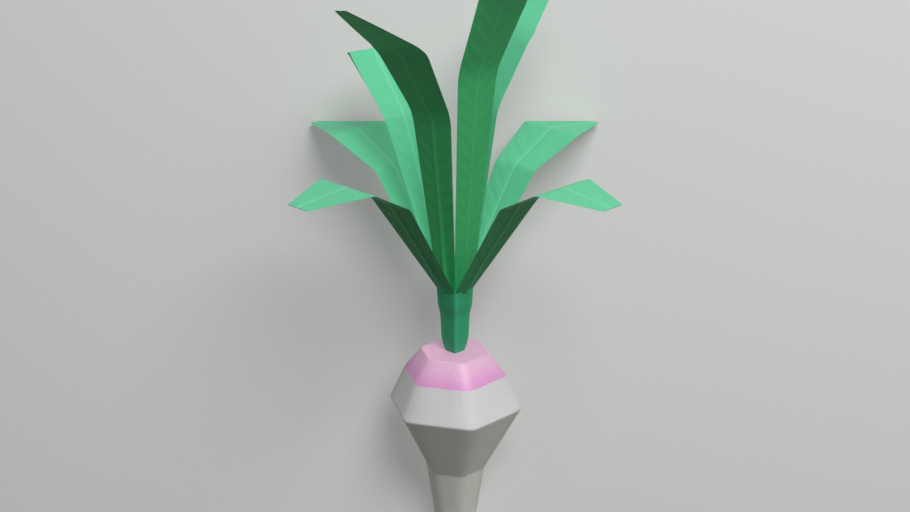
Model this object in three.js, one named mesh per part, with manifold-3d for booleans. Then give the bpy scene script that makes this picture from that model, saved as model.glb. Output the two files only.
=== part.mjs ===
// A radish as it was pulled: a faceted globe root with its taproot, a short stalk, and eight leaves in
// two rings. It lies on a flat surface with its front face up.
//
// The plant is modelled standing, in millimetres: +Z runs up its own axis to the leaf tips, +X to the
// right and +Y to its back, and z = 0 is the widest ring of the root. It is then laid on its back. In the
// finished part +Z is up, the leaves point to +Y, and the origin is the middle of the bottom of the part.

import * as THREE from 'three';
import { mergeVertices } from 'three/addons/utils/BufferGeometryUtils.js';
import Module from 'manifold-3d';

// ---- Driving dimensions, in millimetres and degrees ----

// Root: a six-sided globe, given as the radius to a corner and the height of each ring.
const ROOT_SIDES = 6;
const ROOT_TURN = 15;            // turns the corners away from dead front
const CROWN = { radius: 10.7, height: 17.4 };
const SHOULDER = { radius: 16.0, height: 10.6 };
const WIDEST = { radius: 20.9, height: 0 };
const NECK = { radius: 9.4, height: -21.4 };

// Taproot: keeps narrowing below the neck and ends in a fine tail.
const TAIL_RINGS = [
  { radius: 6.8, height: -38 },
  { radius: 4.6, height: -53 },
  { radius: 2.9, height: -67 },
  { radius: 1.7, height: -80 },
  { radius: 0.8, height: -93 },
];
const TAIL_SWEEP = 7;            // how far the tail's end curls to the right
const TAIL_SWEEP_START = -34;    // height where that curl begins
const SPOT_DEPTH = 0.8;          // how deep the small flat spot is worn into the globe's lowest corner

// Stalk: four-sided, pinched where it leaves the crown and flared into a collar under the leaves.
const STALK_SIDES = 4;
const STALK_RINGS = [
  { radius: 2.9, height: 17.7 },
  { radius: 4.1, height: 21.7 },
  { radius: 4.5, height: 29.8 },
  { radius: 5.2, height: 32.5 },
  { radius: 5.5, height: 38.2 },
];

// Leaves: flat strips folded across. Each fold is a distance out from the axis, a height and a width.
const LEAF_EDGE = 0.4;           // thickness at the margins
const LEAF_MIDRIB = 1.1;         // thickness along the middle
const LEAF_TIP_THINNING = 0.6;   // thickness left at the tip, as a share of the rest
const LEAF_FOOT = 38.9;          // height of the leaf feet, just above the collar
const OUTER_FOOT = { out: 3.4, height: LEAF_FOOT, width: 5.9 };
const INNER_FOOT = { out: 1.9, height: LEAF_FOOT, width: 2.7 };
const INNER_SPREAD = { out: 4.7, height: 45, width: 8 };

const OUTER_BLADE = [
  OUTER_FOOT,
  { out: 26.1, height: 70.8, width: 16.3 },
  { out: 42.3, height: 79.4, width: 22.6 },
];
const INNER_BLADE = [
  INNER_FOOT,
  INNER_SPREAD,
  { out: 9.7, height: 93.9, width: 16 },
  { out: 21.6, height: 115, width: 20.5 },
  { out: 43.4, height: 129.2, width: 4.4 },
];
const TALL_BLADE = [
  INNER_FOOT,
  INNER_SPREAD,
  { out: 9.2, height: 106.2, width: 16 },
  { out: 20.5, height: 131.6, width: 20.5 },
  { out: 44, height: 148, width: 4.4 },
];
const NODDING_BLADE = [
  INNER_FOOT,
  { ...INNER_SPREAD, out: 5.4 },
  { out: 21.5, height: 87.4, width: 16 },
  { out: 35.2, height: 106, width: 20.5 },
  { out: 32.5, height: 91, width: 4.4 },
];
const FRONT_TIP = { out: 60.5, height: 77.6, width: 8.4 };
const BACK_TIP = { out: 63.3, height: 77.1, width: 3.2 };

// Directions of the leaves round the axis, counter-clockwise from +X, and the twist reached at the tip.
const FRONT_RIGHT = -45;
const FRONT_LEFT = -135;
const BACK_LEFT = 135;
const BACK_RIGHT = 45;
const LEAF_TWIST = 11;

// ---- Finishes ----

const ROOT_FINISH = { color: 0xc9a9c0, roughness: 0.45, metalness: 0 };
const STALK_FINISH = { color: 0x2f7f58, roughness: 0.55, metalness: 0 };
const OUTER_FINISH = { color: 0x4aa878, roughness: 0.6, metalness: 0 };
const INNER_FINISH = { color: 0x3f945f, roughness: 0.6, metalness: 0 };

// ---- Tolerances ----

const MERGE_DISTANCE = 1e-4;     // points closer than this are one point
const RING_MATCH = 0.01;         // how near a point's height is to its ring's

const degrees = THREE.MathUtils.degToRad;

function addPiece(parent, name, geometry, finish) {
  const piece = new THREE.Mesh(geometry, new THREE.MeshStandardMaterial(finish));
  piece.name = name;
  parent.add(piece);
  return piece;
}

// Moves every point of a geometry by a function that changes the given vector in place.
function movePoints(geometry, change) {
  const positions = geometry.attributes.position;
  const point = new THREE.Vector3();
  for (let i = 0; i < positions.count; i += 1) {
    change(point.fromBufferAttribute(positions, i));
    positions.setXYZ(i, point.x, point.y, point.z);
  }
  return geometry;
}

// A many-sided solid of revolution standing on +Z, closed flat at both ends. Rings run upwards.
function turnedSolid(rings, sides, turn) {
  const profile = rings.map((ring) => new THREE.Vector2(ring.radius, ring.height));
  profile.unshift(new THREE.Vector2(0, rings[0].height));
  profile.push(new THREE.Vector2(0, rings[rings.length - 1].height));
  return new THREE.LatheGeometry(profile, sides, degrees(turn)).rotateX(Math.PI / 2);
}

// ---- Leaves ----

// A leaf: one box whose cross lines are set on the folds, thickest along the midrib.
function leafGeometry(folds, azimuth, twist) {
  const angle = degrees(azimuth);
  const outwards = new THREE.Vector3(Math.cos(angle), Math.sin(angle), 0);
  const sideways = new THREE.Vector3(-Math.sin(angle), Math.cos(angle), 0);
  const upwards = new THREE.Vector3(0, 0, 1);
  const last = folds.length - 1;

  const middles = folds.map((fold) => outwards.clone().multiplyScalar(fold.out).setZ(fold.height));
  const lines = folds.map((fold, i) => {
    const middle = middles[i];
    const roll = degrees(twist * i / last);
    const across = sideways.clone().multiplyScalar(Math.cos(roll)).addScaledVector(upwards, Math.sin(roll));
    const before = middle.clone().sub(middles[Math.max(i - 1, 0)]).normalize();
    const after = middles[Math.min(i + 1, last)].clone().sub(middle).normalize();
    const along = before.add(after).normalize();
    return { middle, across, face: along.cross(across).normalize(), width: fold.width };
  });

  const blade = new THREE.BoxGeometry(1, 1, last, 2, 1, last);
  return movePoints(blade, (point) => {
    const place = Math.round(point.z + last / 2);
    const { middle, across, face, width } = lines[place];
    const atMargin = Math.round(2 * point.x) !== 0;
    const full = atMargin ? LEAF_EDGE : LEAF_MIDRIB;
    const thickness = place === last ? full * LEAF_TIP_THINNING : full;
    const offset = point.clone();
    point.copy(middle).addScaledVector(across, offset.x * width).addScaledVector(face, offset.y * thickness);
  });
}

function addLeaves(plant) {
  const outer = [
    ['outer_leaf_front_left', FRONT_LEFT, FRONT_TIP],
    ['outer_leaf_front_right', FRONT_RIGHT, FRONT_TIP],
    ['outer_leaf_back_left', BACK_LEFT, BACK_TIP],
    ['outer_leaf_back_right', BACK_RIGHT, BACK_TIP],
  ];
  for (const [name, azimuth, tip] of outer) {
    addPiece(plant, name, leafGeometry([...OUTER_BLADE, tip], azimuth, 0), OUTER_FINISH);
  }
  const inner = [
    ['inner_leaf_front_left', FRONT_LEFT, INNER_BLADE, LEAF_TWIST],
    ['inner_leaf_front_right', FRONT_RIGHT, TALL_BLADE, -LEAF_TWIST],
    ['inner_leaf_back_left', BACK_LEFT, NODDING_BLADE, LEAF_TWIST],
    ['inner_leaf_back_right', BACK_RIGHT, INNER_BLADE, LEAF_TWIST],
  ];
  for (const [name, azimuth, blade, twist] of inner) {
    addPiece(plant, name, leafGeometry(blade, azimuth, twist), INNER_FINISH);
  }
}

// ---- How the plant lies ----

// How far towards the back the lowest corner of the widest ring reaches.
const LOWEST_CORNER = WIDEST.radius * Math.cos(degrees(ROOT_TURN));

// How much the plant's axis has to rise towards the leaves for one leaf point to come level with the
// flat spot: (corner - y) cos(tilt) + z sin(tilt) = spot depth, solved for the tilt.
function tiltThatClears(point) {
  const back = LOWEST_CORNER - point.y;
  return Math.asin(SPOT_DEPTH / Math.hypot(back, point.z)) - Math.atan2(back, point.z);
}

// The tilt at which the last leaf point reaches the surface.
function restingTilt(plant) {
  const tilts = [];
  for (const leaf of plant.children) {
    movePoints(leaf.geometry, (point) => { tilts.push(tiltThatClears(point)); });
  }
  return Math.max(...tilts);
}

// ---- Root and stalk ----

async function rootGeometry(tilt, axisHeight, lying) {
  const wasm = await Module();
  wasm.setup();

  const toSolid = (geometry) => {
    const bare = geometry.clone();
    bare.deleteAttribute('normal');
    bare.deleteAttribute('uv');
    const merged = mergeVertices(bare, MERGE_DISTANCE);
    return new wasm.Manifold(new wasm.Mesh({
      numProp: 3,
      vertProperties: new Float32Array(merged.attributes.position.array),
      triVerts: new Uint32Array(merged.index.array),
    }));
  };

  // The tail is lifted wherever it would pass through the surface, so it lies along it.
  const rings = [...TAIL_RINGS].reverse().concat([NECK, WIDEST, SHOULDER, CROWN]);
  const lifts = TAIL_RINGS.map((ring) => {
    const reach = ring.radius * Math.cos(degrees(ROOT_TURN)) * Math.cos(tilt);
    const lowest = axisHeight + ring.height * Math.sin(tilt) - reach;
    return Math.max(0, -lowest / Math.cos(tilt));
  });
  const body = turnedSolid(rings, ROOT_SIDES, ROOT_TURN);
  const tailEnd = TAIL_RINGS[TAIL_RINGS.length - 1].height;
  movePoints(body, (point) => {
    const ring = TAIL_RINGS.findIndex((entry) => Math.abs(entry.height - point.z) < RING_MATCH);
    if (ring < 0) return;
    const share = (TAIL_SWEEP_START - point.z) / (TAIL_SWEEP_START - tailEnd);
    point.y -= lifts[ring];
    point.x += TAIL_SWEEP * share * share;
  });

  // Everything below the surface is taken off, which leaves the small flat spot.
  const blockSize = 4 * WIDEST.radius;
  const below = new THREE.BoxGeometry(blockSize, blockSize, blockSize)
    .translate(0, 0, -blockSize / 2)
    .applyMatrix4(lying.clone().invert());
  const cut = toSolid(body).subtract(toSolid(below)).getMesh();
  const geometry = new THREE.BufferGeometry();
  geometry.setAttribute('position', new THREE.BufferAttribute(new Float32Array(cut.vertProperties), 3));
  geometry.setIndex(new THREE.BufferAttribute(new Uint32Array(cut.triVerts), 1));
  return geometry;
}

async function buildRadish() {
  const plant = new THREE.Group();
  addLeaves(plant);

  const tilt = restingTilt(plant);
  const axisHeight = LOWEST_CORNER * Math.cos(tilt) - SPOT_DEPTH;
  plant.rotation.x = tilt - Math.PI / 2;
  plant.position.z = axisHeight;
  plant.updateMatrix();

  addPiece(plant, 'root', await rootGeometry(tilt, axisHeight, plant.matrix), ROOT_FINISH);
  addPiece(plant, 'stalk', turnedSolid(STALK_RINGS, STALK_SIDES, 0), STALK_FINISH);

  // The origin goes to the middle of the bottom of the whole part.
  const radish = new THREE.Group();
  radish.add(plant);
  const middle = new THREE.Box3().setFromObject(radish, true).getCenter(new THREE.Vector3());
  plant.position.x -= middle.x;
  plant.position.y -= middle.y;
  return radish;
}

const radish = await buildRadish();
export default radish;
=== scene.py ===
"""A whole radish lying on its back: a faceted globe root, a short stalk and eight folded leaves.

Every surface is a function of two parameters, worked out in the plant's own frame and then laid in
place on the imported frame. In the plant's frame, in millimetres, the first axis runs to the right, the
second to the plant's back, which lies down, and the third up the plant's axis to the leaf tips, with
zero at the widest ring of the root.
"""

import logging
import math
from dataclasses import dataclass, field
from enum import Enum
from typing import Any, Optional, Sequence, Union

import bpy
import numpy as np
from mathutils import Matrix, Vector


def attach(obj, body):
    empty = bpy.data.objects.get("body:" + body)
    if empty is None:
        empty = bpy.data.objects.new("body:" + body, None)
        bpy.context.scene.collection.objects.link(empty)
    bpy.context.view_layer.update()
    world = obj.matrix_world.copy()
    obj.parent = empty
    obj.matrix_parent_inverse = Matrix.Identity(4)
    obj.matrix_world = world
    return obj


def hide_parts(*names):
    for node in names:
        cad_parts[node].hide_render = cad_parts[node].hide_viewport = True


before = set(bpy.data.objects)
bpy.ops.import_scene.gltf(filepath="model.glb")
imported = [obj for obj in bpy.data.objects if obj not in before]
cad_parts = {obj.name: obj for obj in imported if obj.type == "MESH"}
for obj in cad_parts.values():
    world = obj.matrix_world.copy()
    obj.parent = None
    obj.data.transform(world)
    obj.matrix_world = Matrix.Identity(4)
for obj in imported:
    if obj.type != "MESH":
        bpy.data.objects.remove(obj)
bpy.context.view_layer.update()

log = logging.getLogger("radish")

MM = 0.001
BODY = "root"
STALK_FOOT = 17.7  # height of the stalk's foot up the plant's axis, in millimetres
VEIN_SPACING = 5.2  # between side veins along a leaf, in millimetres
VEIN_SLANT = 0.85  # how far a side vein runs along the leaf for each step away from the midrib
FACE_GAP = 3.0  # keeps the patterns of a leaf's two faces apart, in millimetres
FOLD_STEPS = 6001  # places at which a folded line is summed
NARROWEST_WINDOW = 1e-4  # half the window at the ends of a folded line, in millimetres

Array = np.ndarray
RGB = tuple[float, float, float]


# ------------------------------------------------------------
# Where the plant lies
# ------------------------------------------------------------


@dataclass(frozen=True)
class PlantFrame:
    """The plant's own axes and origin, in the part's frame."""

    origin: Array
    right: Array
    back: Array
    up: Array

    @classmethod
    def from_stalk(cls, node: bpy.types.Object) -> "PlantFrame":
        """Reads the plant's axis from the stalk, which is square round it.

        The axis is the direction in which the stalk's corners spread furthest, and it passes
        through the middle of the corners.

        Args:
            node: the stalk's CAD node.

        Returns:
            The plant's frame.
        """
        flat = np.empty(3 * len(node.data.vertices))
        node.data.vertices.foreach_get("co", flat)
        corners = np.unique(np.round(flat.reshape(-1, 3), 6), axis=0)
        middle = corners.mean(axis=0)
        up = np.linalg.svd(corners - middle)[2][0]
        up = up * np.sign(up[1])
        right = np.array([1.0, 0.0, 0.0])
        back = np.cross(up, right)
        foot = ((corners - middle) @ up).min()
        return cls(middle + up * (foot - STALK_FOOT * MM), right, back, up)

    @property
    def tilt(self) -> float:
        """How far the axis rises towards the leaves, in radians."""
        return math.asin(self.up[2])

    def place(self, points: Array) -> Array:
        """Turns points in the plant's frame, in millimetres, into the part's frame, in metres."""
        axes = np.stack([self.right, self.back, self.up])
        return self.origin + (points * MM) @ axes


# ------------------------------------------------------------
# Surface formulas
# ------------------------------------------------------------


def soft_fold(stations: Array, rows: int, softness: float) -> Array:
    """Runs along a folded line with its folds slightly rounded.

    The line is measured by its own length. Each value is the mean of the folded line over a short
    window, from one softness before the place to one after, which turns each fold into a small
    curve. The window closes at the two ends, so the line keeps its ends.

    Args:
        stations: one row per fold. The first three columns are the place, any others go with it.
        rows: how many places to return.
        softness: half the window, in millimetres.

    Returns:
        One row per place, with the columns of the stations and then the length run so far.
    """
    steps = np.linalg.norm(np.diff(stations[:, :3], axis=0), axis=1)
    marks = np.concatenate([[0.0], np.cumsum(steps)])
    total = marks[-1]
    fine = np.linspace(0.0, total, FOLD_STEPS)
    run = np.linspace(0.0, total, rows)
    window = np.clip(np.minimum(run, total - run), NARROWEST_WINDOW, softness)
    low, high = np.clip(run - window, 0, total), np.clip(run + window, 0, total)
    columns = []
    for values in stations.T:
        line = np.interp(fine, marks, values)
        area = np.concatenate([[0.0], np.cumsum((line[1:] + line[:-1]) / 2)]) * (fine[1] - fine[0])
        columns.append((np.interp(high, fine, area) - np.interp(low, fine, area)) / (high - low))
    return np.stack([*columns, run], axis=1)


def soft_polygon(angle: Array, sides: int, turn: float, firmness: float) -> Array:
    """The radius of a many-sided outline with soft corners, as a share of the radius to a corner.

    Each side adds its cosine, where positive, raised to the firmness. The radius is that sum to
    the power of minus one over the firmness, divided by its value at a corner. A high firmness
    gives flat sides and crisp corners, and a low one comes near a circle.

    Args:
        angle: where round the axis, in radians.
        sides: number of sides.
        turn: the angle of one corner, in radians.
        firmness: how firm the sides are.

    Returns:
        The radius at each angle.
    """
    middles = turn + (np.arange(sides) + 0.5) * 2 * math.pi / sides
    pull = np.clip(np.cos(np.asarray(angle)[..., None] - middles), 0, None) ** firmness
    corner = (2 * math.cos(math.pi / sides) ** firmness) ** (-1 / firmness)
    return pull.sum(axis=-1) ** (-1 / firmness) / corner


def unit(vectors: Array) -> Array:
    """Scales vectors to length one."""
    return vectors / np.linalg.norm(vectors, axis=-1, keepdims=True)


# ------------------------------------------------------------
# Meshes
# ------------------------------------------------------------


def tube_piece(name: str, grid: Array, attributes: dict[str, Array]) -> bpy.types.Object:
    """Makes a closed piece from rings of points, with a middle point closing each end.

    Args:
        name: the piece's name.
        grid: rings by points round by three, in metres. Rings run so that the points go round
            counter-clockwise when seen from the last ring.
        attributes: one value, or three, for each point of the grid, by name.

    Returns:
        The piece, in the scene, at the origin.
    """
    rings, around = grid.shape[:2]
    points = np.concatenate([grid.reshape(-1, 3), grid[0].mean(0)[None], grid[-1].mean(0)[None]])
    first, last = rings * around, rings * around + 1
    here = np.arange(around)
    after = (here + 1) % around
    rows = (np.arange(rings - 1) * around)[:, None]
    quads = np.stack([rows + here, rows + after, rows + around + after, rows + around + here], axis=-1)
    top = (rings - 1) * around
    start = np.stack([np.full(around, first), after, here], axis=-1)
    end = np.stack([np.full(around, last), top + here, top + after], axis=-1)
    faces = quads.reshape(-1, 4).tolist() + start.tolist() + end.tolist()

    mesh = bpy.data.meshes.new(name)
    mesh.from_pydata(points, [], faces)
    mesh.polygons.foreach_set("use_smooth", np.ones(len(mesh.polygons), bool))
    for key, values in attributes.items():
        flat = values.reshape(rings * around, -1)
        flat = np.concatenate([flat, flat[:around].mean(0)[None], flat[-around:].mean(0)[None]])
        kind, slot_name = ("FLOAT", "value") if flat.shape[1] == 1 else ("FLOAT_VECTOR", "vector")
        layer = mesh.attributes.new(key, kind, "POINT")
        layer.data.foreach_set(slot_name, flat.astype(np.float32).ravel())
    mesh.update()
    piece = bpy.data.objects.new(name, mesh)
    bpy.context.scene.collection.objects.link(piece)
    return piece


def shade_as(piece: bpy.types.Object, grid: Array) -> None:
    """Shades a piece as though it had another surface, and leaves its shape alone.

    Each normal is the cross product of the step round the ring and the step to the next ring on
    that other surface. The point that closes an end takes the mean of its ring's normals.

    Args:
        piece: a piece from tube_piece.
        grid: the other surface, with as many rings and points as the piece's own.
    """
    around = np.roll(grid, -1, axis=1) - np.roll(grid, 1, axis=1)
    normals = unit(np.cross(around, np.gradient(grid, axis=0)))
    ends = unit(np.stack([normals[0].mean(axis=0), normals[-1].mean(axis=0)]))
    piece.data.normals_split_custom_set_from_vertices(np.concatenate([normals.reshape(-1, 3), ends]))


def settle(piece: bpy.types.Object, node: str, material: bpy.types.Material) -> None:
    """Gives a piece its finish, hangs it on the root's body and hides the CAD node it stands for.

    Args:
        piece: the finished piece.
        node: the CAD node that it replaces.
        material: its material.
    """
    piece.data.materials.append(material)
    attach(piece, BODY)
    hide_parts(node)
    log.info("%s: %d points", piece.name, len(piece.data.vertices))


# ------------------------------------------------------------
# Shader building
# ------------------------------------------------------------


class Wire:
    """A number socket that takes part in Python expressions. Each operator adds one Math node."""

    def __init__(self, shop: "Workshop", socket: bpy.types.NodeSocket) -> None:
        """Wraps a socket of a node in the workshop's tree."""
        self.shop = shop
        self.socket = socket

    def math(self, operation: str, *others: Any) -> "Wire":
        """Applies one Math operation to this wire and the others."""
        return self.shop.math(operation, self, *others)

    def __add__(self, other: Any) -> "Wire":
        """self + other"""
        return self.math("ADD", other)

    __radd__ = __add__

    def __mul__(self, other: Any) -> "Wire":
        """self * other"""
        return self.math("MULTIPLY", other)

    __rmul__ = __mul__

    def __sub__(self, other: Any) -> "Wire":
        """self - other"""
        return self.math("SUBTRACT", other)

    def __rsub__(self, other: Any) -> "Wire":
        """other - self"""
        return self.shop.math("SUBTRACT", other, self)

    def __truediv__(self, other: Any) -> "Wire":
        """self / other"""
        return self.math("DIVIDE", other)

    def __rtruediv__(self, other: Any) -> "Wire":
        """other / self"""
        return self.shop.math("DIVIDE", other, self)

    def __pow__(self, other: Any) -> "Wire":
        """self ** other"""
        return self.math("POWER", other)

    def __rpow__(self, other: Any) -> "Wire":
        """other ** self"""
        return self.shop.math("POWER", other, self)

    def __abs__(self) -> "Wire":
        """abs(self)"""
        return self.math("ABSOLUTE")


Source = Union[Wire, bpy.types.NodeSocket, float, Sequence[float]]


class Workshop:
    """Builds one material's nodes."""

    def __init__(self, name: str) -> None:
        """Starts a material with no nodes.

        Args:
            name: the material's name.
        """
        self.material = bpy.data.materials.new(name)
        self.material.use_nodes = True
        self.tree = self.material.node_tree
        self.tree.nodes.clear()

    def node(self, kind: str, settings: Optional[dict[str, Any]] = None,
             **inputs: Source) -> bpy.types.Node:
        """Adds any node.

        Args:
            kind: the node's type, without its ShaderNode prefix.
            settings: its own properties, set before its sockets.
            **inputs: values or links, by socket name with spaces as underscores, or by place as
                in_0, in_1 and so on.

        Returns:
            The node.
        """
        made = self.tree.nodes.new("ShaderNode" + kind)
        for key, value in (settings or {}).items():
            setattr(made, key, value)
        for key, value in inputs.items():
            place = int(key[3:]) if key.startswith("in_") else key.replace("_", " ")
            self._feed(made.inputs[place], value)
        return made

    def _feed(self, socket: bpy.types.NodeSocket, value: Source) -> None:
        """Links a wire or socket, or sets a constant.

        Args:
            socket: the socket to feed.
            value: what feeds it. A colour of three numbers is made opaque.
        """
        if isinstance(value, Wire):
            self.tree.links.new(value.socket, socket)
        elif isinstance(value, bpy.types.NodeSocket):
            self.tree.links.new(value, socket)
        elif socket.type == "RGBA" and len(value) == 3:
            socket.default_value = (*value, 1.0)
        else:
            socket.default_value = value

    def math(self, operation: str, *values: Source) -> Wire:
        """One Math node as a wire."""
        inputs = {f"in_{i}": value for i, value in enumerate(values)}
        return Wire(self, self.node("Math", {"operation": operation}, **inputs).outputs[0])

    def attribute(self, name: str) -> Wire:
        """A number kept on the piece's points."""
        return Wire(self, self.node("Attribute", {"attribute_name": name}).outputs["Fac"])

    def vector_attribute(self, name: str) -> bpy.types.NodeSocket:
        """A vector kept on the piece's points."""
        return self.node("Attribute", {"attribute_name": name}).outputs["Vector"]

    def scaled(self, vector: bpy.types.NodeSocket, factors: Sequence[float]) -> bpy.types.NodeSocket:
        """A vector stretched along its three axes."""
        return self.node("VectorMath", {"operation": "MULTIPLY"}, in_0=vector, in_1=factors).outputs[0]

    def noise(self, vector: Source, scale: float, detail: float = 3.0, roughness: float = 0.5) -> Wire:
        """Noise from 0 to 1 at a vector.

        Args:
            vector: where in the pattern.
            scale: how fine the pattern is.
            detail: how many finer layers it has.
            roughness: how strong the finer layers are.

        Returns:
            The noise.
        """
        made = self.node("TexNoise", {"normalize": True}, Vector=vector, Scale=scale, Detail=detail,
                         Roughness=roughness)
        return Wire(self, made.outputs["Fac"])

    def ease(self, value: Source, low: float, high: float) -> Wire:
        """A smooth step from 0 to 1. It falls as the value grows where low is the greater.

        Args:
            value: what is stepped.
            low: where the step is 0.
            high: where it is 1.

        Returns:
            The step.
        """
        settings = {"interpolation_type": "SMOOTHSTEP", "clamp": True}
        made = self.node("MapRange", settings, Value=value, From_Min=low, From_Max=high)
        return Wire(self, made.outputs["Result"])

    def mix(self, factor: Source, first: Source, second: Source) -> bpy.types.NodeSocket:
        """Two colours mixed.

        Args:
            factor: the second colour's share.
            first: the first colour.
            second: the second colour.

        Returns:
            The mixed colour.
        """
        settings = {"data_type": "RGBA", "blend_type": "MIX", "clamp_factor": True}
        made = self.node("Mix", settings, Factor=factor)
        self._feed(made.inputs[6], first)
        self._feed(made.inputs[7], second)
        return made.outputs[2]

    def tint(self, colour: Source, light: Wire) -> bpy.types.NodeSocket:
        """A colour made lighter or darker.

        Args:
            colour: the colour.
            light: what it is multiplied by, a number near one.

        Returns:
            The tinted colour.
        """
        made = self.node("VectorMath", {"operation": "SCALE"}, in_0=colour)
        self._feed(made.inputs["Scale"], light)
        return made.outputs[0]

    def finish(self, base: Source, roughness: Source, height: Wire, depth: float,
               gloss: float = 0.5) -> bpy.types.Material:
        """Ends the material in one Principled shader.

        Args:
            base: base colour.
            roughness: roughness.
            height: relief from 0 to 1, for the bump.
            depth: how many metres of relief the whole range stands for.
            gloss: how strongly the surface reflects, where 0.5 is plain skin.

        Returns:
            The material.
        """
        bump = self.node("Bump", Strength=1.0, Distance=depth, Height=height)
        shader = self.node("BsdfPrincipled", Base_Color=base, Roughness=roughness,
                           Normal=bump.outputs["Normal"], Specular_IOR_Level=gloss)
        self.node("OutputMaterial", Surface=shader.outputs[0])
        return self.material


# ------------------------------------------------------------
# Finishes
# ------------------------------------------------------------


@dataclass(frozen=True)
class RootSkin:
    """Thin smooth skin: pale pink crown, pink shoulders, white, then creamier, and warmer to the tail.

    Starts and ends are heights in millimetres up the plant's axis. A scale is how fine a pattern
    is, a stretch less than one draws it out along the axis, a wander is how many millimetres it
    moves an edge, and a tint or relief is how strongly it colours or shapes the skin.
    """

    crown: RGB = (0.90, 0.53, 0.745)
    shoulder: RGB = (0.78, 0.34, 0.67)
    white: RGB = (0.71, 0.71, 0.70)
    belly: RGB = (0.67, 0.655, 0.595)
    tail: RGB = (0.64, 0.59, 0.52)
    pore: RGB = (0.52, 0.46, 0.38)
    pink_fade: tuple[float, float] = (10.3, 10.75)  # heights between which white turns pink
    crown_fade: tuple[float, float] = (10.1, 16.6)  # heights between which the pink turns pale
    edge_scale: float = 0.7
    edge_stretch: float = 0.3
    edge_wander: float = 0.4
    streak_scale: float = 1.1
    streak_stretch: float = 0.06
    streak_wander: float = 3.0
    streak_relief: float = 0.25
    cloud_scale: float = 0.16
    grain_scale: float = 2.6
    grain_relief: float = 0.12
    darkest: float = 0.93  # how light the skin is where it has neither streak nor cloud
    lightening: float = 0.07  # how much lighter a streak or a cloud makes it
    belly_start: float = 0.6
    belly_end: float = -1.8
    belly_wander: float = 2.0
    warm_start: float = -26.0
    warm_end: float = -84.0
    warm_wander: float = 14.0
    pore_start: float = 0.0
    pore_end: float = -6.0
    pore_scale: float = 0.26
    pore_squash: float = 3.2  # flattens the marks along the axis
    pore_reach: float = 0.16  # how far a mark goes from its middle, as a share of its cell
    pore_core: float = 0.06
    pore_patch_scale: float = 0.2
    pore_patch: tuple[float, float] = (0.45, 0.6)  # noise at which marks begin and are full
    pore_tint: float = 0.3
    pore_relief: float = 0.35
    wrinkle_start: float = -20.0
    wrinkle_end: float = -60.0
    wrinkle_rate: float = 3.4  # radians of wave to a millimetre
    wrinkle_wobble_scale: float = 0.5
    wrinkle_wobble: float = 1.6
    wrinkle_sharpness: float = 6.0  # the power that narrows each wrinkle
    wrinkle_patch_scale: float = 0.35
    wrinkle_patch_stretch: float = 0.5
    wrinkle_patch: tuple[float, float] = (0.42, 0.68)  # noise at which wrinkles begin and are full
    wrinkle_relief: float = 0.5
    roughness: float = 0.42
    grain_roughness: float = 0.16
    tail_roughness: float = 0.14
    gloss: float = 0.4
    relief_depth: float = 0.0003  # in metres

    def build(self) -> bpy.types.Material:
        """Makes the material. It reads the height up the axis and the skin map of the root.

        Returns:
            The material.
        """
        shop = Workshop("radish_skin")
        height = shop.attribute("height")
        skin = shop.vector_attribute("skin")

        streaks = shop.noise(shop.scaled(skin, (1.0, 1.0, self.streak_stretch)), self.streak_scale, 4.0)
        clouds = shop.noise(skin, self.cloud_scale, 3.0)
        grain = shop.noise(skin, self.grain_scale, 3.0)
        wander = shop.noise(shop.scaled(skin, (1.0, 1.0, self.edge_stretch)), self.edge_scale) - 0.5
        ragged = height + wander * self.edge_wander
        pink = shop.ease(ragged, *self.pink_fade)
        blush = shop.ease(height + (streaks - 0.5) * self.streak_wander, *self.crown_fade)
        warm = shop.ease(height + (clouds - 0.5) * self.warm_wander, self.warm_start, self.warm_end)

        belly = shop.ease(height + (clouds - 0.5) * self.belly_wander, self.belly_start, self.belly_end)
        flesh = shop.mix(warm, shop.mix(belly, self.white, self.belly), self.tail)
        crown = shop.mix(blush, self.shoulder, self.crown)
        base = shop.mix(pink, flesh, crown)
        light = self.darkest + streaks * self.lightening + clouds * self.lightening
        base = shop.tint(base, light)

        pores = self._pores(shop, skin)
        below = shop.ease(height, self.pore_start, self.pore_end)
        base = shop.mix(pores * below * self.pore_tint, base, self.pore)

        rings = self._tail_rings(shop, skin, height)
        relief = 0.5 + (streaks - 0.5) * self.streak_relief + (grain - 0.5) * self.grain_relief
        relief = relief - pores * below * self.pore_relief - rings * self.wrinkle_relief
        roughness = self.roughness + (grain - 0.5) * self.grain_roughness + warm * self.tail_roughness
        return shop.finish(base, roughness, relief, self.relief_depth, self.gloss)

    def _pores(self, shop: Workshop, skin: bpy.types.NodeSocket) -> Wire:
        """Short level breathing marks, here and there over the skin.

        Args:
            shop: the workshop of the material.
            skin: the skin map.

        Returns:
            How strong the mark is, from 0 to 1.
        """
        flattened = shop.scaled(skin, (1.0, 1.0, self.pore_squash))
        cells = shop.node("TexVoronoi", {"feature": "F1"}, Vector=flattened, Scale=self.pore_scale,
                          Randomness=1.0)
        mark = shop.ease(Wire(shop, cells.outputs["Distance"]), self.pore_reach, self.pore_core)
        few = shop.ease(shop.noise(skin, self.pore_patch_scale, 1.0), *self.pore_patch)
        return mark * few

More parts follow.
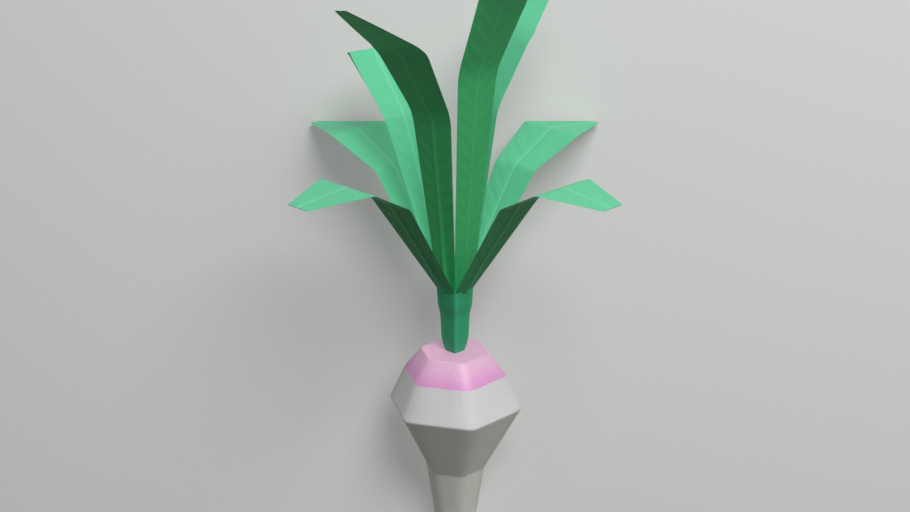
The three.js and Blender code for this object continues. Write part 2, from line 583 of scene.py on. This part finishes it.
    def _tail_rings(self, shop: Workshop, skin: bpy.types.NodeSocket, height: Wire) -> Wire:
        """Fine wrinkles round the taproot, deeper towards the tail.

        Args:
            shop: the workshop of the material.
            skin: the skin map.
            height: the height up the axis.

        Returns:
            How deep the wrinkle is, from 0 to 1.
        """
        wobble = height + shop.noise(skin, self.wrinkle_wobble_scale, 2.0) * self.wrinkle_wobble
        wave = shop.math("SINE", wobble * self.wrinkle_rate) * 0.5 + 0.5
        stretched = shop.scaled(skin, (1.0, 1.0, self.wrinkle_patch_stretch))
        patches = shop.ease(shop.noise(stretched, self.wrinkle_patch_scale), *self.wrinkle_patch)
        deeper = shop.ease(height, self.wrinkle_start, self.wrinkle_end)
        return wave ** self.wrinkle_sharpness * patches * deeper


@dataclass(frozen=True)
class StalkSkin:
    """Juicy green stalk with fine fibres along it, paler on its ridges.

    Its fields are named as RootSkin's are.
    """

    dark: RGB = (0.022, 0.34, 0.140)
    light: RGB = (0.048, 0.48, 0.220)
    ridge: RGB = (0.06, 0.50, 0.25)
    foot: RGB = (0.06, 0.48, 0.22)
    fibre_scale: float = 2.4
    fibre_stretch: float = 0.05
    fibre_tint: float = 0.6
    fibre_relief: float = 0.8
    cloud_scale: float = 0.3
    cloud_tint: float = 0.4
    cloud_roughness: float = 0.14
    grain_scale: float = 2.0
    grain_relief: float = 0.2
    ridge_start: float = 0.75  # the ridge attribute at which the ridge's colour begins
    ridge_tint: float = 0.45
    foot_rise: float = 3.0  # how far the foot's colour reaches above the foot, in millimetres
    foot_drop: float = 0.5  # and how far below the foot it is full, in millimetres
    foot_wander: float = 2.0
    foot_tint: float = 0.6
    roughness: float = 0.45
    gloss: float = 0.18
    relief_depth: float = 0.00028  # in metres

    def build(self) -> bpy.types.Material:
        """Makes the material. It reads the height, the skin map and the ridges of the stalk.

        Returns:
            The material.
        """
        shop = Workshop("radish_stalk")
        height = shop.attribute("height")
        ridge = shop.attribute("ridge")
        skin = shop.vector_attribute("skin")
        fibres = shop.noise(shop.scaled(skin, (1.0, 1.0, self.fibre_stretch)), self.fibre_scale, 3.0)
        clouds = shop.noise(skin, self.cloud_scale, 2.0)
        base = shop.mix(fibres * self.fibre_tint + clouds * self.cloud_tint, self.dark, self.light)
        base = shop.mix(shop.ease(ridge, self.ridge_start, 1.0) * self.ridge_tint, base, self.ridge)
        foot = shop.ease(height + (fibres - 0.5) * self.foot_wander,
                         STALK_FOOT + self.foot_rise, STALK_FOOT - self.foot_drop)
        base = shop.mix(foot * self.foot_tint, base, self.foot)
        roughness = self.roughness + (clouds - 0.5) * self.cloud_roughness
        grain = shop.noise(skin, self.grain_scale, 2.0)
        relief = fibres * self.fibre_relief + grain * self.grain_relief
        return shop.finish(base, roughness, relief, self.relief_depth, self.gloss)


@dataclass(frozen=True)
class LeafSkin:
    """A leaf: a mint upper face with painted sheen, a deep green underside with painted shade, paler by
    painted light on an inner leaf, and paler veins.

    Widths and reaches are in millimetres. The other fields are named as RootSkin's are.
    """

    # The upper colour is the leaf's green lightened and whitened by painted sheen, and the under colour is
    # that green darkened by painted shade.
    upper: RGB = (0.130, 0.60, 0.332)
    under: RGB = (0.020, 0.29, 0.082)
    # A paler underside colour for the inner leaves, which face the lamp: painted light.
    painted_lit_under: RGB = (0.046, 0.37, 0.125)
    upper_vein: RGB = (0.24, 0.72, 0.46)
    under_vein: RGB = (0.080, 0.42, 0.17)
    foot: RGB = (0.050, 0.42, 0.19)
    wander_scale: float = 0.35
    vein_wander: float = 1.4
    midrib_wander: float = 0.12  # as a share of the side veins' wander
    midrib_width: float = 0.55
    midrib_tint: float = 0.4
    midrib_relief: float = 0.4
    vein_width: float = 0.34
    vein_core: float = 0.06  # how near a vein's middle it is at full strength
    vein_fade: float = 0.6  # share of the half width from which side veins fade
    upper_vein_tint: float = 0.16
    under_vein_tint: float = 0.2
    vein_relief: float = 0.35
    net_scale: float = 0.85
    net_width: float = 0.10
    net_shade: float = 0.03
    net_relief: float = 0.12
    cloud_scale: float = 0.14
    darkest: float = 0.94
    lightening: float = 0.12
    foot_reach: float = 16.0
    foot_tint: float = 0.5
    roughness: float = 0.5
    cloud_roughness: float = 0.12
    under_roughness: float = 0.08
    gloss: float = 0.18
    relief_depth: float = 0.00032  # in metres

    def build(self) -> bpy.types.Material:
        """Makes the material.

        It reads, in millimetres, how far along the leaf and how far across from its midrib a
        point is and the half width there. It also reads which face the point is on, how much
        painted light the leaf's underside takes, and the map of its blade.

        Returns:
            The material.
        """
        shop = Workshop("radish_leaf")
        along = shop.attribute("along")
        across = abs(shop.attribute("across"))
        half = shop.attribute("half")
        face = shop.ease(shop.attribute("upper"), 0.35, 0.65)
        blade = shop.vector_attribute("blade")

        wander = (shop.noise(blade, self.wander_scale, 2.0) - 0.5) * self.vein_wander
        midrib = shop.ease(across + wander * self.midrib_wander,
                           self.midrib_width * 1.5, self.midrib_width * 0.5)
        veins = self._side_veins(shop, along + wander, across, half)
        cells = shop.node("TexVoronoi", {"feature": "DISTANCE_TO_EDGE"}, Vector=blade,
                          Scale=self.net_scale)
        net = shop.ease(Wire(shop, cells.outputs["Distance"]), self.net_width, 0.0)
        clouds = shop.noise(blade, self.cloud_scale, 3.0)

        # The upper face's mint carries painted sheen and the underside's deep green carries painted shade.
        upper = shop.mix(midrib * self.midrib_tint + veins * self.upper_vein_tint,
                         self.upper, self.upper_vein)
        # Painted light: the inner leaves' undersides turn paler.
        under = shop.mix(shop.attribute("painted_under_light"), self.under, self.painted_lit_under)
        under = shop.mix(midrib * self.midrib_tint + veins * self.under_vein_tint,
                         under, self.under_vein)
        base = shop.mix(face, under, upper)
        base = shop.mix(shop.ease(along, self.foot_reach, 0.0) * self.foot_tint, base, self.foot)
        base = shop.tint(base, self.darkest + clouds * self.lightening - net * self.net_shade)

        # Veins are sunk on the upper face and stand out on the underside.
        lines = midrib * self.midrib_relief + veins * self.vein_relief + net * self.net_relief
        relief = 0.5 + lines * (0.5 - face)
        roughness = self.roughness + (clouds - 0.5) * self.cloud_roughness
        roughness = roughness + (1.0 - face) * self.under_roughness
        return shop.finish(base, roughness, relief, self.relief_depth, self.gloss)

    def _side_veins(self, shop: Workshop, along: Wire, across: Wire, half: Wire) -> Wire:
        """Slanting side veins: evenly spaced lines that rise from the midrib and fade at the margin.

        Args:
            shop: the workshop of the material.
            along: how far along the leaf.
            across: how far from the midrib, either way.
            half: half the width there.

        Returns:
            How strong the vein is, from 0 to 1.
        """
        phase = (along - across * VEIN_SLANT) / VEIN_SPACING
        nearest = abs(shop.math("FRACT", phase) - 0.5) * VEIN_SPACING
        line = shop.ease(nearest, self.vein_width, self.vein_core)
        return line * shop.ease(across / half, 1.0, self.vein_fade)


@dataclass(frozen=True)
class PlainSurface:
    """Pale matt table top."""

    colour: RGB = (0.66, 0.66, 0.65)
    grain_scale: float = 900.0
    darkest: float = 0.985
    lightening: float = 0.03
    roughness: float = 0.75
    relief_depth: float = 0.00004  # in metres

    def build(self) -> bpy.types.Material:
        """Makes the material, with a barely seen even grain.

        Returns:
            The material.
        """
        shop = Workshop("pale_surface")
        place = shop.node("TexCoord").outputs["Object"]
        grain = shop.noise(place, self.grain_scale, 2.0)
        base = shop.tint(self.colour, self.darkest + grain * self.lightening)
        return shop.finish(base, self.roughness, grain, self.relief_depth)


# ------------------------------------------------------------
# The root
# ------------------------------------------------------------


@dataclass
class Root:
    """The swollen root and its taproot: flat sides and crisp corners, shaded as if they were rounder.

    Each ring is the radius to a corner and the height. Lengths are in millimetres, turn in degrees.
    """

    plant: PlantFrame
    rings: Sequence[tuple[float, float]] = (
        (0.3, -92.6), (0.8, -91.5), (1.7, -80.0), (2.9, -67.0), (4.6, -53.0), (6.8, -38.0),
        (9.4, -21.4), (20.9, 0.0), (16.0, 10.6), (10.7, 17.4), (0.4, 17.4),
    )
    sides: int = 6
    turn: float = 15.0  # from the right, towards the front, to the first corner
    firmness: float = 36.0  # of the shape of the globe
    shading_firmness: float = 9.0  # of the rounder surface that lends the globe its shading
    tail_firmness: float = 6.0
    softness: float = 0.4  # rounds the outline's folds
    rows: int = 420
    around: int = 180
    sweep: float = 7.0  # how far the tail's end has curled to the right
    sweep_start: float = -34.0
    sweep_end: float = -93.0
    waver: float = 0.5  # how far the tail wavers to either side
    waver_rate: float = 0.31  # radians of waver to a millimetre
    lift_run: float = 6.0  # height over which the lift off the table comes in
    lift_softness: float = 0.3  # rounds where the lift starts, in square millimetres

    def surface(self, firmness: float) -> tuple[Array, dict[str, Array]]:
        """The root's surface.

        The first parameter runs along the softened outline from the tail to the crown, the second
        round the axis. The radius is the outline's radius times the soft polygon, whose corners
        melt away towards the tail. The tail curls to the right by the square of how far it has
        run, wavers a little, and is lifted wherever it would pass through the table. Last, nothing
        goes below the table, which leaves the small flat spot on the lowest corner.

        Args:
            firmness: how firm the six sides of the globe are.

        Returns:
            The grid of points and its attributes.
        """
        outline = np.array([(radius, 0.0, height) for radius, height in self.rings])
        run = soft_fold(outline, self.rows, self.softness)
        radius, height = run[:, 0][:, None], run[:, 2][:, None]
        angle = np.linspace(0, 2 * math.pi, self.around, endpoint=False)[None, :]
        turn = -math.radians(self.turn)

        fine = np.clip((self.sweep_start - height) / (self.sweep_start - self.sweep_end), 0, 1)
        firm = soft_polygon(angle, self.sides, turn, firmness)
        loose = soft_polygon(angle, self.sides, turn, self.tail_firmness)
        share = firm + (loose - firm) * fine
        x = radius * share * np.cos(angle)
        y = radius * share * np.sin(angle)

        tilt = self.plant.tilt
        axis_height = self.plant.origin[2] / MM
        reach = radius * math.cos(math.radians(self.turn)) * math.cos(tilt)
        sunk = (reach - axis_height - height * math.sin(tilt)) / math.cos(tilt)
        raised = (sunk + np.sqrt(sunk ** 2 + self.lift_softness)) / 2
        lift = np.where(height < self.sweep_start, raised, 0.0)
        ease = np.clip((self.sweep_start - height) / self.lift_run, 0, 1)
        waver = self.waver * np.sin(height * self.waver_rate) * fine
        x = x + self.sweep * fine ** 2 + waver
        y = y - lift * ease * ease * (3 - 2 * ease)

        local = np.stack([x, y, np.broadcast_to(height, x.shape)], axis=-1)
        grid = self.plant.place(local)
        grid[..., 2] = np.maximum(grid[..., 2], 0.0)
        skin = np.stack([radius * np.cos(angle), radius * np.sin(angle),
                         np.broadcast_to(height, x.shape)], axis=-1)
        return grid, {"height": np.broadcast_to(height, x.shape).copy(), "skin": skin}

    def build(self, skin: bpy.types.Material) -> None:
        """Makes the piece, rounds its shading across the upright edges and dresses it.

        Args:
            skin: its material.
        """
        grid, attributes = self.surface(self.firmness)
        piece = tube_piece("radish_root", grid, attributes)
        shade_as(piece, self.surface(self.shading_firmness)[0])
        settle(piece, "root", skin)


# ------------------------------------------------------------
# The stalk
# ------------------------------------------------------------


@dataclass
class Stalk:
    """The short stalk: square with soft ridges, pinched at the crown and flared at the collar.

    Each ring is the radius to a corner and the height. Lengths are in millimetres.
    """

    plant: PlantFrame
    rings: Sequence[tuple[float, float]] = (
        (2.2, 17.0), (2.9, 17.3), (3.6, 19.4), (4.15, 22.0), (4.5, 29.8), (5.2, 32.5),
        (5.5, 38.2), (4.9, 38.9), (0.2, 38.9),
    )
    sides: int = 4
    firmness: float = 28.0
    softness: float = 0.6
    rows: int = 150
    around: int = 128

    def surface(self) -> tuple[Array, dict[str, Array]]:
        """The stalk's surface: the softened outline's radius times a soft square, round the axis.

        Returns:
            The grid of points and its attributes.
        """
        outline = np.array([(radius, 0.0, height) for radius, height in self.rings])
        run = soft_fold(outline, self.rows, self.softness)
        radius, height = run[:, 0][:, None], run[:, 2][:, None]
        angle = np.linspace(0, 2 * math.pi, self.around, endpoint=False)[None, :]
        share = soft_polygon(angle, self.sides, 0.0, self.firmness)
        x, y = radius * share * np.cos(angle), radius * share * np.sin(angle)
        tall = np.broadcast_to(height, x.shape)
        ridge = np.broadcast_to(np.clip(np.abs(np.cos(2 * angle)) * np.sign(np.cos(4 * angle)), 0, 1),
                                x.shape)
        skin = np.stack([x, y, tall], axis=-1)
        return self.plant.place(skin), {"height": tall.copy(), "ridge": ridge.copy(), "skin": skin}

    def build(self, skin: bpy.types.Material) -> None:
        """Makes the piece and dresses it."""
        grid, attributes = self.surface()
        settle(tube_piece("radish_stalk", grid, attributes), "stalk", skin)


# ------------------------------------------------------------
# The leaves
# ------------------------------------------------------------


class Side(Enum):
    """Where a leaf stands round the stalk: its angle in degrees from the right, towards the back."""

    FRONT_LEFT = -135.0
    FRONT_RIGHT = -45.0
    BACK_LEFT = 135.0
    BACK_RIGHT = 45.0


Fold = tuple[float, float, float]  # out from the axis, height and width there, in millimetres

OUTER_BLADE: tuple[Fold, ...] = ((3.9, 38.0, 7.8), (26.1, 70.8, 16.3), (42.3, 79.4, 22.6))
FRONT_TIP: Fold = (60.5, 77.6, 8.4)
BACK_TIP: Fold = (63.3, 77.1, 3.2)
INNER_BLADE: tuple[Fold, ...] = (
    (3.5, 38.0, 7.6), (9.7, 93.9, 16.0), (21.6, 115.0, 20.5), (43.4, 129.2, 4.4))
TALL_BLADE: tuple[Fold, ...] = (
    (3.5, 38.0, 7.6), (9.2, 106.2, 16.0), (20.5, 131.6, 20.5), (44.0, 148.0, 4.4))
NODDING_BLADE: tuple[Fold, ...] = (
    (3.5, 38.0, 7.6), (21.5, 87.4, 16.0), (35.2, 106.0, 20.5), (32.5, 91.0, 4.4))
TWIST = 11.0  # how far an inner leaf has turned by its tip, in degrees
INNER_SOFTNESS = 4.0  # rounds the inner leaves' folds into bends, in millimetres
NODDING_SOFTNESS = 0.5  # and keeps the nodding leaf's folds sharp


@dataclass
class Leaf:
    """One leaf: a thin strip folded across at a few places, with a rounded midrib beneath.

    Lengths are in millimetres, the twist in degrees.
    """

    plant: PlantFrame
    node: str
    side: Side
    folds: Sequence[Fold]
    twist: float = 0.0
    softness: float = 1.2  # rounds the folds
    painted_under_light: float = 0.0  # how far the underside takes a paler colour of painted light, from 0 to 1
    outline_softness: float = 0.5  # rounds the corners of the leaf's outline
    thickness: float = 0.28  # of the blade beside the midrib, at the foot
    midrib: float = 0.75
    foot_midrib: float = 1.2
    groove: float = 0.12  # how deep the upper face sinks over the midrib
    quilting: float = 0.06  # how far the blade rises or falls between side veins
    quilting_foot: float = 0.2  # share of the leaf over which quilting comes in from the foot
    quilting_tip: float = 0.1  # share over which it dies out to the tip
    quilting_edge: float = 0.05  # keeps the two side edges straight
    tip_thinning: float = 0.35  # share of the thickness lost by the tip
    edge_roundness: float = 0.6  # the power of the lens's cross section
    foot_share: float = 0.25  # share of the leaf over which the foot's thicker midrib runs out
    midrib_taper: float = 0.8  # the power by which the midrib thins
    midrib_spread: float = 0.5  # how far out the midrib has mostly faded at the tip, twice this at the foot
    midrib_room: float = 2.0  # half width of leaf below which the midrib shrinks
    rows: int = 230
    around: int = 96

    def surface(self) -> tuple[Array, dict[str, Array]]:
        """The leaf's surface.

        The first parameter runs along the softened fold line from the foot to the tip. The second
        goes round a thin lens: across one way on the upper face and back beneath. The lens keeps
        most of its thickness across the leaf and closes to an edge at both sides. The underside
        adds a midrib, a bell curve that dies out towards the tip, and the upper face sinks in a
        groove over it. Between the side veins both faces rise and fall together a little, as a
        cosine of the vein spacing.

        Returns:
            The grid of points and its attributes.
        """
        angle = math.radians(self.side.value)
        outwards = np.array([math.cos(angle), math.sin(angle), 0.0])
        sideways = np.array([-math.sin(angle), math.cos(angle), 0.0])
        upwards = np.array([0.0, 0.0, 1.0])
        turns = np.radians(self.twist) * np.arange(len(self.folds)) / (len(self.folds) - 1)
        stations = np.array([
            (*(outwards * out + upwards * height), width, turn)
            for (out, height, width), turn in zip(self.folds, turns)])
        run = soft_fold(stations, self.rows, self.softness)
        middle, roll, along = run[:, :3], run[:, 4], run[:, 5]
        width = soft_fold(stations, self.rows, self.outline_softness)[:, 3]
        line = sideways * np.cos(roll)[:, None] + upwards * np.sin(roll)[:, None]
        ahead = unit(np.gradient(middle, axis=0))
        face = unit(np.cross(ahead, line))
        line = np.cross(face, ahead)

        lap = np.linspace(0, 2 * math.pi, self.around, endpoint=False)
        across = np.cos(lap)[None, :]
        upper = np.sin(lap)[None, :]
        half = (width / 2)[:, None]
        distance = across * half
        share = (along / along[-1])[:, None]
        lens = np.abs(upper) ** self.edge_roundness * np.sign(upper)
        thin = self.thickness * (1 - self.tip_thinning * share) * lens / 2
        stem = (self.foot_midrib * np.clip(1 - share / self.foot_share, 0, 1) ** 2
                + self.midrib * (1 - share) ** self.midrib_taper)
        spread = self.midrib_spread + self.midrib_spread * (1 - share)
        bell = np.exp(-((distance / spread) ** 2)) * np.clip(half / self.midrib_room, 0, 1)
        sunk = np.where(upper > 0, -self.groove * bell, -stem * 0.5 * bell)
        wave = np.cos((along[:, None] - np.abs(distance) * VEIN_SLANT)
                      * 2 * math.pi / VEIN_SPACING)
        pillow = self.quilting * -wave * np.sin(np.abs(across) * math.pi)
        pillow = pillow * np.clip(share / self.quilting_foot, 0, 1)
        pillow = pillow * np.clip((1 - share) / self.quilting_tip, 0, 1)
        off = thin + sunk + pillow * np.where(np.abs(upper) > self.quilting_edge, 1.0, 0.0)

        local = (middle[:, None, :] + line[:, None, :] * distance[..., None]
                 + face[:, None, :] * off[..., None])
        shape = distance.shape
        blade = np.stack([distance, np.broadcast_to(along[:, None], shape),
                          np.broadcast_to(upper * FACE_GAP, shape)], axis=-1)
        attributes = {
            "along": np.broadcast_to(along[:, None], shape).copy(),
            "across": distance,
            "half": np.broadcast_to(half, shape).copy(),
            "upper": np.broadcast_to((upper > 0).astype(float), shape).copy(),
            # how much painted light the underside takes
            "painted_under_light": np.full(shape, self.painted_under_light),
            "blade": blade,
        }
        return self.plant.place(local), attributes

    def build(self, skin: bpy.types.Material) -> None:
        """Makes the piece and dresses it."""
        grid, attributes = self.surface()
        settle(tube_piece("radish_" + self.node, grid, attributes), self.node, skin)


@dataclass
class Foliage:
    """The two rings of leaves."""

    plant: PlantFrame
    leaves: list[Leaf] = field(default_factory=list)

    def __post_init__(self) -> None:
        """Lists the eight leaves."""
        outer: list[tuple[str, Side, Fold]] = [
            ("outer_leaf_front_left", Side.FRONT_LEFT, FRONT_TIP),
            ("outer_leaf_front_right", Side.FRONT_RIGHT, FRONT_TIP),
            ("outer_leaf_back_left", Side.BACK_LEFT, BACK_TIP),
            ("outer_leaf_back_right", Side.BACK_RIGHT, BACK_TIP),
        ]
        inner: list[tuple[str, Side, Sequence[Fold], float, float]] = [
            ("inner_leaf_front_left", Side.FRONT_LEFT, INNER_BLADE, TWIST, INNER_SOFTNESS),
            ("inner_leaf_front_right", Side.FRONT_RIGHT, TALL_BLADE, -TWIST, INNER_SOFTNESS),
            ("inner_leaf_back_left", Side.BACK_LEFT, NODDING_BLADE, TWIST, NODDING_SOFTNESS),
            ("inner_leaf_back_right", Side.BACK_RIGHT, INNER_BLADE, TWIST, INNER_SOFTNESS),
        ]
        for node, side, tip in outer:
            self.leaves.append(Leaf(self.plant, node, side, (*OUTER_BLADE, tip)))
        for node, side, folds, twist, softness in inner:
            # The inner leaves take the painted light on their undersides in full.
            self.leaves.append(Leaf(self.plant, node, side, folds, twist, softness, painted_under_light=1.0))

    def build(self, skin: bpy.types.Material) -> None:
        """Builds every leaf in one finish."""
        for leaf in self.leaves:
            leaf.build(skin)


# ------------------------------------------------------------
# The studio
# ------------------------------------------------------------


@dataclass
class Studio:
    """A pale table, soft light and the camera.

    Sizes and distances are in metres, heights in millimetres up the plant's axis, powers in watts,
    the lens and sensor in millimetres, and the lean in degrees.
    """

    plant: PlantFrame
    table_size: float = 3.0
    table_drop: float = 0.00005  # keeps the table's face clear of the radish's lowest points
    lens: float = 69.2
    sensor: float = 36.0
    distance: float = 0.525
    aim_height: float = 48.06
    view_lean: float = 20.15
    clip_near: float = 0.01
    clip_far: float = 20.0
    key_power: float = 6.8
    fill_power: float = 5.2
    key_size: float = 0.7
    key_distance: float = 1.1
    lamp_aim_height: float = 30.0
    lamp_direction: tuple[float, float, float] = (0.27, 0.58, 0.768)  # right, front, up the axis
    sky: RGB = (0.94, 0.97, 1.0)
    sky_strength: float = 0.09

    def build(self) -> None:
        """Sets up the table, the lights and the camera."""
        self._table()
        self._lights()
        self._camera()

    def _table(self) -> None:
        """A wide flat surface just under the radish."""
        half = self.table_size / 2
        mesh = bpy.data.meshes.new("table")
        corners = [(-half, -half, 0), (half, -half, 0), (half, half, 0), (-half, half, 0)]
        mesh.from_pydata([(x, y, -self.table_drop) for x, y, _ in corners], [], [(0, 1, 2, 3)])
        mesh.materials.append(PlainSurface().build())
        table = bpy.data.objects.new("table", mesh)
        bpy.context.scene.collection.objects.link(table)

    def _direction(self, right: float, front: float, up: float) -> Vector:
        """A direction given in the plant's terms, in the part's frame."""
        plant = self.plant
        return Vector(plant.right * right - plant.back * front + plant.up * up).normalized()

    def _lights(self) -> None:
        """Two large soft lamps in one place over the leaf end, one shadowless, and an even sky."""
        self._lamp("key", self.key_power, True)
        self._lamp("fill", self.fill_power, False)

        world = bpy.data.worlds.new("sky")
        world.use_nodes = True
        background = world.node_tree.nodes["Background"]
        background.inputs["Color"].default_value = (*self.sky, 1.0)
        background.inputs["Strength"].default_value = self.sky_strength
        bpy.context.scene.world = world
        bpy.context.scene.view_settings.view_transform = "Standard"

    def _lamp(self, name: str, power: float, shadows: bool) -> None:
        """One disk lamp, turned to the radish.

        Args:
            name: the lamp's name.
            power: its power, in watts.
            shadows: whether it casts shadows.
        """
        aim = Vector(self.plant.place(np.array([0.0, 0.0, self.lamp_aim_height])))
        towards = self._direction(*self.lamp_direction)
        lamp = bpy.data.lights.new(name, "AREA")
        lamp.shape = "DISK"
        lamp.size = self.key_size
        lamp.energy = power
        lamp.use_shadow = shadows
        light = bpy.data.objects.new(name, lamp)
        light.location = aim + towards * self.key_distance
        light.rotation_mode = "QUATERNION"
        light.rotation_quaternion = towards.to_track_quat("Z", "Y")
        bpy.context.scene.collection.objects.link(light)

    def _camera(self) -> None:
        """Looks down on the radish, leaning a little from its front towards the leaves."""
        lean = math.radians(self.view_lean)
        towards = self._direction(0.0, math.cos(lean), math.sin(lean))
        aim = Vector(self.plant.place(np.array([0.0, 0.0, self.aim_height])))
        data = bpy.data.cameras.new("camera")
        data.sensor_width = self.sensor
        data.lens = self.lens
        data.clip_start = self.clip_near
        data.clip_end = self.clip_far
        camera = bpy.data.objects.new("camera", data)
        up = Vector(self.plant.up)
        across = up.cross(towards).normalized()
        rise = towards.cross(across)
        turned = Matrix((across, rise, towards)).transposed().to_4x4()
        camera.matrix_world = Matrix.Translation(aim + towards * self.distance) @ turned
        bpy.context.scene.collection.objects.link(camera)
        bpy.context.scene.camera = camera


def main() -> None:
    """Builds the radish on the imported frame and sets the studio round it."""
    logging.basicConfig(level=logging.INFO, format="%(name)s: %(message)s")
    plant = PlantFrame.from_stalk(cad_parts["stalk"])
    log.info("the plant's axis rises %.2f degrees", math.degrees(plant.tilt))
    Root(plant).build(RootSkin().build())
    Stalk(plant).build(StalkSkin().build())
    Foliage(plant).build(LeafSkin().build())
    Studio(plant).build()


if __name__ == "__main__":
    main()
